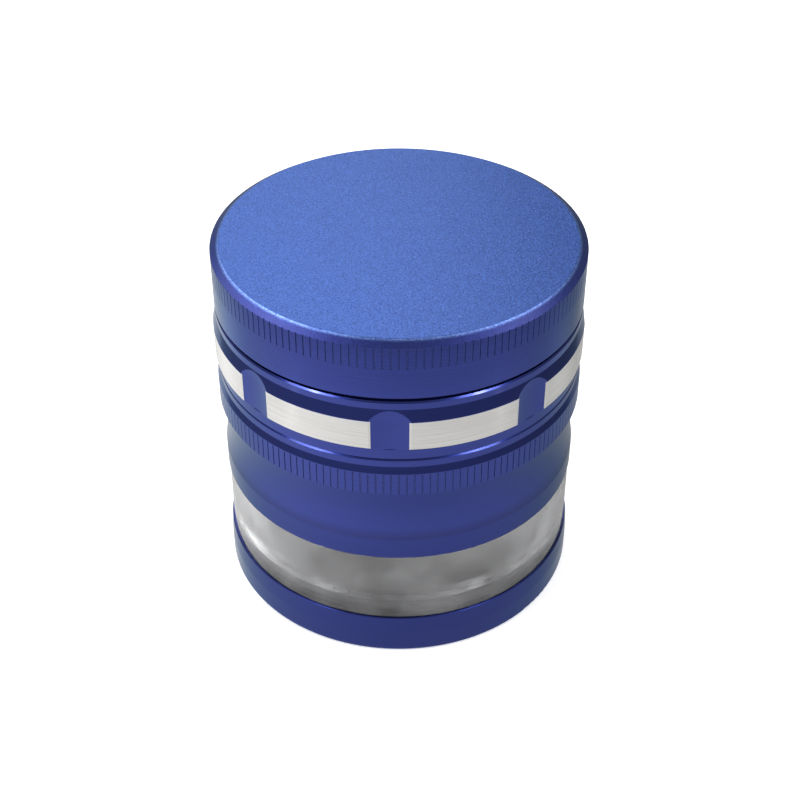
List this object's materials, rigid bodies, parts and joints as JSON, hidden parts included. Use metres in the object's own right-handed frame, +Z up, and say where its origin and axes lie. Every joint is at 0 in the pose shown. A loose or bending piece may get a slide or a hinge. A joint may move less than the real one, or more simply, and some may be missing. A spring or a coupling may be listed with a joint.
{
  "type": "herb grinder",
  "caption": "Round aluminium herb grinder: knurled lid over a scalloped grinding chamber, waisted storage body with screen, clear catcher window and base.",
  "frame": {"origin": "centre of the flat underside, on the axis of the grinder", "axes": "+Z up along the axis of the grinder, front on -Y"},
  "size_m": [0.0636, 0.0636, 0.0663],
  "materials": {
    "anodised_blue": "blue anodised, satin",
    "anodised_band": "blue anodised, with the proud band turned bare after anodising",
    "clear_acrylic": "clear, polished",
    "seal_rubber": "matte",
    "stainless": "plain",
    "mesh_steel": "woven",
    "spring_steel": "plain",
    "nickel": "nickel plated",
    "black_acetal": "moulded"
  },
  "bodies": {
    "catcher": {"base": "anodised_blue", "window_gasket": "seal_rubber", "window_ring": "clear_acrylic"},
    "neck_seal": {"neck_oring": "seal_rubber"},
    "storage": {"storage_body": "anodised_blue", "screen_hoop": "stainless", "screen_mesh": "mesh_steel", "screen_retainer": "spring_steel"},
    "chamber_seal": {"chamber_oring": "seal_rubber"},
    "chamber": {"grinding_chamber": "anodised_band", "chamber_magnet": "nickel"},
    "glide_ring": {"friction_ring": "black_acetal"},
    "lid_body": {"lid": "anodised_blue", "lid_magnet": "nickel"}
  },
  "joints": [
    {"name": "storage_lift", "type": "slide", "parent": "catcher", "child": "neck_seal", "axis": [0, 0, 1], "range_m": [0, 0.003]},
    {"name": "storage_turn", "type": "hinge", "parent": "neck_seal", "child": "storage", "pos_m": [0, 0, 0], "axis": [0, 0, 1], "range_deg": [0, 720]},
    {"name": "chamber_lift", "type": "slide", "parent": "storage", "child": "chamber_seal", "axis": [0, 0, 1], "range_m": [0, 0.0045]},
    {"name": "chamber_turn", "type": "hinge", "parent": "chamber_seal", "child": "chamber", "pos_m": [0, 0, 0], "axis": [0, 0, 1], "range_deg": [0, 1080]},
    {"name": "lid_lift", "type": "slide", "parent": "chamber", "child": "glide_ring", "axis": [0, 0, 1], "range_m": [0, 0.02]},
    {"name": "lid_turn", "type": "hinge", "parent": "glide_ring", "child": "lid_body", "pos_m": [0, 0, 0], "axis": [0, 0, 1], "continuous": true}
  ],
  "couplings": [
    {"joint": "storage_turn", "follows": "storage_lift", "rad_per_m": 4188.8},
    {"joint": "chamber_turn", "follows": "chamber_lift", "rad_per_m": 4188.8}
  ]
}
